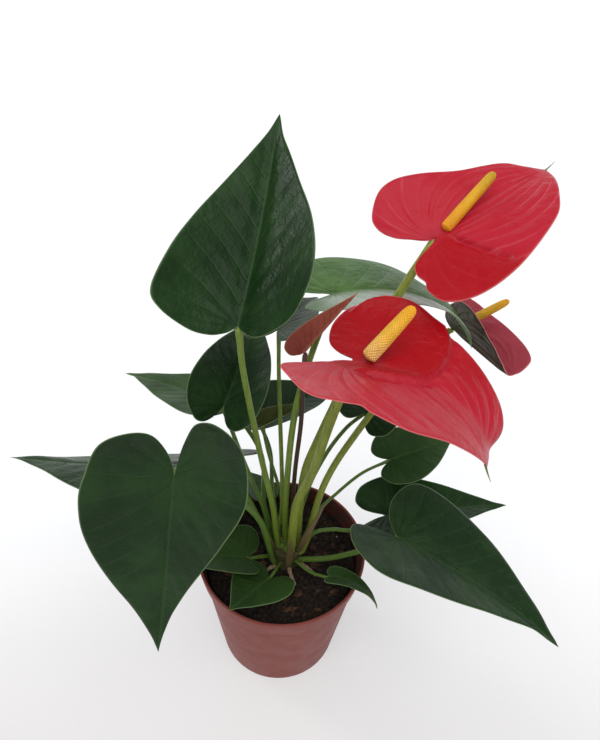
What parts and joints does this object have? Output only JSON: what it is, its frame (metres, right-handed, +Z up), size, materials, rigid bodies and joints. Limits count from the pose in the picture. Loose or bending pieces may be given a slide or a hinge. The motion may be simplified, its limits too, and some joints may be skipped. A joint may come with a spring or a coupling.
{
  "type": "potted anthurium",
  "caption": "Potted anthurium with heart-shaped leaves and glossy red spathes round yellow spadices, standing in a tapered round nursery pot of soil.",
  "frame": {"origin": "centre of the pot's flat base", "axes": "+Z up through the pot, +Y towards the plant's back, +X to its right as seen from the front"},
  "size_m": [0.2959, 0.1873, 0.3159],
  "materials": {
    "pot": "satin terracotta-brown plastic",
    "potting_soil": "moist crumbly potting soil",
    "crown": "brown ringed rooting stem",
    "root": "pale knobbly root tips",
    "leaf": "dark green waxy leaf with pale veins",
    "light_leaf": "light green waxy leaf with a pale sheen",
    "young_red_leaf": "red-brown young leaf",
    "olive_leaf": "olive young leaf",
    "petiole": "green leaf stalk",
    "bright_petiole": "yellow-green leaf stalk",
    "red_petiole": "red-brown leaf stalk",
    "sheath": "dry papery sheath",
    "peduncle": "yellow-green flower stalk",
    "spathe": "glossy red veined spathe",
    "side_spathe": "dull red spathe with a green-brown back",
    "spadix": "finely dimpled yellow spadix"
  },
  "bodies": {
    "root": {"pot": "pot", "potting_soil": "potting_soil", "crown": "crown", "root_front": "root", "root_front_left": "root", "root_right": "root", "root_back": "root", "leaf_upper_left": "leaf", "petiole_upper_left": "bright_petiole", "leaf_front_left": "leaf", "petiole_front_left": "petiole", "leaf_far_left": "leaf", "petiole_far_left": "petiole", "leaf_mid_left": "leaf", "petiole_mid_left": "petiole", "leaf_inner_left": "leaf", "petiole_inner_left": "petiole", "leaf_back_centre": "leaf", "petiole_back_centre": "petiole", "leaf_back_right": "leaf", "petiole_back_right": "petiole", "leaf_round_right": "leaf", "petiole_round_right": "petiole", "leaf_right_back": "leaf", "petiole_right_back": "petiole", "leaf_right_front": "leaf", "petiole_right_front": "petiole", "leaf_top_arched": "light_leaf", "petiole_top_arched": "bright_petiole", "leaf_top_back": "leaf", "petiole_top_back": "bright_petiole", "leaf_young_furled": "young_red_leaf", "petiole_young_furled": "red_petiole", "leaf_young_olive": "olive_leaf", "petiole_young_olive": "petiole", "leaf_basal_front": "leaf", "petiole_basal_front": "petiole", "leaf_basal_right": "leaf", "petiole_basal_right": "petiole", "leaf_basal_left": "leaf", "petiole_basal_left": "petiole", "leaf_basal_back": "leaf", "petiole_basal_back": "petiole", "sheath_front": "sheath", "sheath_right": "sheath", "sheath_left": "sheath", "peduncle_upper": "peduncle", "spathe_upper": "spathe", "spadix_upper": "spadix", "peduncle_lower": "peduncle", "spathe_lower": "spathe", "spadix_lower": "spadix", "peduncle_side": "peduncle", "spathe_side": "side_spathe", "spadix_side": "spadix"}
  },
  "joints": []
}
